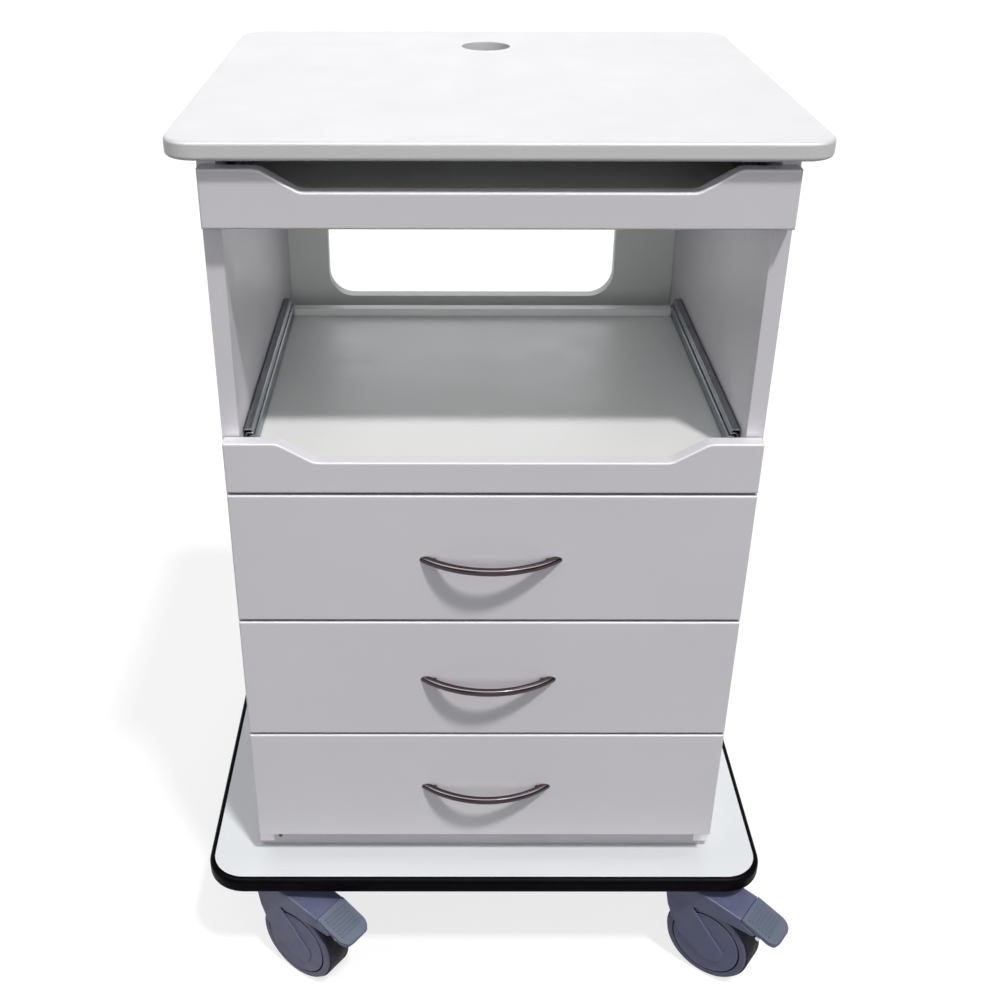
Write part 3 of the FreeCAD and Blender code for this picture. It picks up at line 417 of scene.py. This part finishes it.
def mesh_piece(name, points, faces, material, body, nodes):
    """A finished piece that rides on a body and stands for CAD nodes."""
    mesh = bpy.data.meshes.new(name)
    mesh.from_pydata(points, [], faces)
    mesh.materials.append(material)
    shell = bmesh.new()
    shell.from_mesh(mesh)
    bmesh.ops.recalc_face_normals(shell, faces=shell.faces)
    shell.to_mesh(mesh)
    shell.free()
    mesh.shade_smooth()
    mesh.set_sharp_from_angle(angle=math.radians(SHARP_ANGLE))
    piece = bpy.data.objects.new(name, mesh)
    link(piece)
    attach(piece, body)
    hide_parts(*nodes)


def make_slides():
    """Rolled members for all five pairs of slides; the cabinet's ten bars are one piece."""
    fixed_points, fixed_faces = [], []
    for unit in UNITS:
        low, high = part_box(unit + "_slide_middle")
        level = (low.z + high.z) / 2
        pair_of_members(
            "cabinet_slide_members", CABINET_REACH, False, fixed_points, fixed_faces, level)
        for part, reach, outward, body in (
            ("_slide_middle", MIDDLE_REACH, False, unit + "_middle_members"),
            ("_slide_inner", INNER_REACH, True, unit),
        ):
            node = unit + part
            points, faces = [], []
            pair_of_members(node, reach, outward, points, faces)
            mesh_piece(node + "_rolled", points, faces, slide_zinc, body, [node])
    mesh_piece(
        "cabinet_slide_members_rolled", fixed_points, fixed_faces, slide_zinc, "cabinet",
        ["cabinet_slide_members"])


# ---------------------------------------------------------------- room
# The camera stands in front of the cart, a little left of its middle, and looks down at it.
# Lengths are in metres and angles in degrees.
CAMERA_PLACE = Vector((CENTRE - 45.3 * mm, -1290.9 * mm, 1197.9 * mm))
CAMERA_LENS = 45.54
SENSOR_WIDTH = 36.0
CAMERA_SHIFT = 0.0537
CAMERA_DOWN = 29.51
CAMERA_TURN = -0.11
CAMERA_ROLL = 0.11

WHITE = (1.0, 1.0, 1.0, 1.0)
BLACK = (0.0, 0.0, 0.0, 1.0)
FLOOR_GREYS = ((0.29, 0.29, 0.29), (0.31, 0.31, 0.31))
FLOOR_HALF = 14.0
FLOOR_GLOW = 0.76
BACKDROP_RADIUS = 13.0
BACKDROP_GLOW = 1.0

# The dome's strength at the horizon and overhead, without the glows.
DOME_LOW = 0.12
DOME_TOP = 0.30
# All of it fades out across the horizon, over this much height on either side.
HORIZON = 0.04
DOME_COLOUR = (0.985, 0.99, 1.02, 1.0)
# Glows low in front, behind and to the left: direction, sharpness and strength.
GLOWS = (
    ((0.1, -1.0, 0.16), 15.0, 0.95),
    ((0.0, 1.0, 0.36), 6.0, 1.5),
    ((-1.0, -0.35, 0.45), 3.0, 0.35),
)

KEY_TOWARDS = Vector((0.67, -1.0, 2.35)).normalized()
KEY_ENERGY = 0.65 * math.pi
KEY_ANGLE = 5.0
KEY_COLOUR = (1.0, 0.99, 0.98)

FILL_PLACE = Vector((0.25, -1.6, 1.02))
FILL_AIM = Vector((0.0, 0.0, 0.78))
FILL_WIDTH = 1.2
FILL_HEIGHT = 0.5
FILL_POWER = 1.7

SOFT_BOX_HALF_WIDTH = 3.0
SOFT_BOX_FRONT = -2.0
SOFT_BOX_BACK = -0.6
SOFT_BOX_HEIGHT = 2.6
SOFT_BOX_GLOW = 9.0


def flat_sheet(name, x_half, y_front, y_back, z):
    """A mesh of one level face."""
    mesh = bpy.data.meshes.new(name)
    front = [(-x_half, y_front, z), (x_half, y_front, z)]
    back = [(x_half, y_back, z), (-x_half, y_back, z)]
    mesh.from_pydata(front + back, [], [(0, 1, 2, 3)])
    return mesh


def make_camera():
    """The view of the whole cart from the front."""
    data = bpy.data.cameras.new("camera")
    data.lens = CAMERA_LENS
    data.sensor_width = SENSOR_WIDTH
    data.shift_x = CAMERA_SHIFT
    camera = bpy.data.objects.new("camera", data)
    tilt = Matrix.Rotation(math.radians(90.0 - CAMERA_DOWN), 4, "X")
    turn = Matrix.Rotation(math.radians(CAMERA_TURN), 4, "Z")
    roll = Matrix.Rotation(math.radians(CAMERA_ROLL), 4, "Z")
    camera.matrix_world = Matrix.Translation(CAMERA_PLACE) @ turn @ tilt @ roll
    link(camera)
    bpy.context.scene.camera = camera


def make_floor():
    """A white floor that glows by itself, so that the cart's shadow on it stays faint."""
    material, tree, shader = new_material("floor_white")
    cloud = remap(tree, noise(tree, scale=1.2), low=0.0, high=1.0)
    grey = mix_colours(tree, cloud, *FLOOR_GREYS)
    tree.links.new(grey, shader.inputs["Base Color"])
    shader.inputs["Emission Color"].default_value = WHITE
    shader.inputs["Emission Strength"].default_value = FLOOR_GLOW
    shader.inputs["Roughness"].default_value = 0.9
    shader.inputs["Specular IOR Level"].default_value = 0.1
    mesh = flat_sheet("floor", FLOOR_HALF, -FLOOR_HALF, FLOOR_HALF, z=0.0)
    mesh.materials.append(material)
    floor = bpy.data.objects.new("floor", mesh)
    link(floor)
    floor.visible_diffuse = False


def lobe(tree, direction, centre, sharpness, strength):
    """A broad glow around one direction of the sky."""
    toward = add(tree, "ShaderNodeVectorMath", operation="DOT_PRODUCT")
    tree.links.new(direction, toward.inputs[0])
    toward.inputs[1].default_value = Vector(centre).normalized()
    power = add(tree, "ShaderNodeMath", operation="POWER")
    ahead = remap(tree, toward.outputs["Value"], low=0.0, high=1.0)
    tree.links.new(ahead, power.inputs[0])
    power.inputs[1].default_value = sharpness
    return times(tree, power.outputs["Value"], strength)


def make_world():
    """A soft dome, a little brighter overhead, with three glows and no light from below."""
    world = bpy.data.worlds.new("studio")
    world.use_nodes = True
    tree = world.node_tree
    background = tree.nodes["Background"]
    direction = add(tree, "ShaderNodeTexCoord").outputs["Generated"]
    split = add(tree, "ShaderNodeSeparateXYZ")
    tree.links.new(direction, split.inputs["Vector"])
    above = remap(tree, split.outputs["Z"], low=0.0, high=1.0, start=-HORIZON, end=HORIZON)
    sky = remap(tree, split.outputs["Z"], low=DOME_LOW, high=DOME_TOP)
    for centre, sharpness, strength in GLOWS:
        sky = plus(tree, sky, lobe(tree, direction, centre, sharpness, strength))
    level = times(tree, sky, above)
    tree.links.new(level, background.inputs["Strength"])
    background.inputs["Color"].default_value = DOME_COLOUR
    bpy.context.scene.world = world


def make_key():
    """One soft key from above, ahead and to the right."""
    data = bpy.data.lights.new("key", "SUN")
    data.energy = KEY_ENERGY
    data.angle = math.radians(KEY_ANGLE)
    data.color = KEY_COLOUR
    key = bpy.data.objects.new("key", data)
    key.rotation_euler = KEY_TOWARDS.to_track_quat("Z", "Y").to_euler()
    link(key)


def make_fill():
    """A soft panel in front of the bay, which brightens its inside and the upper fronts."""
    data = bpy.data.lights.new("fill", "AREA")
    data.shape = "RECTANGLE"
    data.size = FILL_WIDTH
    data.size_y = FILL_HEIGHT
    data.energy = FILL_POWER
    fill = bpy.data.objects.new("fill", data)
    fill.location = FILL_PLACE
    fill.rotation_euler = (FILL_PLACE - FILL_AIM).to_track_quat("Z", "Y").to_euler()
    fill.visible_camera = False
    link(fill)


def glowing(name, mesh, strength):
    """A stage piece of even white light that casts no shadow and lights no matt surface."""
    material, _, shader = new_material(name)
    shader.inputs["Base Color"].default_value = BLACK
    shader.inputs["Specular IOR Level"].default_value = 0.0
    shader.inputs["Emission Color"].default_value = WHITE
    shader.inputs["Emission Strength"].default_value = strength
    mesh.materials.append(material)
    thing = bpy.data.objects.new(name, mesh)
    link(thing)
    thing.visible_diffuse = False
    thing.visible_shadow = False
    return thing


def make_backdrop():
    """A white studio shell far round the cart, seen by the camera alone."""
    mesh = bpy.data.meshes.new("backdrop")
    shell = bmesh.new()
    bmesh.ops.create_uvsphere(shell, u_segments=64, v_segments=32, radius=BACKDROP_RADIUS)
    shell.to_mesh(mesh)
    shell.free()
    backdrop = glowing("backdrop", mesh, BACKDROP_GLOW)
    backdrop.visible_glossy = False


def make_soft_box():
    """A long soft box above and ahead of the cart that shows only in reflections."""
    mesh = flat_sheet(
        "soft_box", SOFT_BOX_HALF_WIDTH, SOFT_BOX_FRONT, SOFT_BOX_BACK, SOFT_BOX_HEIGHT)
    soft_box = glowing("soft_box", mesh, SOFT_BOX_GLOW)
    soft_box.visible_camera = False


dress_nodes()
make_slides()
make_camera()
make_floor()
make_world()
make_key()
make_fill()
make_backdrop()
make_soft_box()
bpy.context.scene.view_settings.view_transform = "Standard"
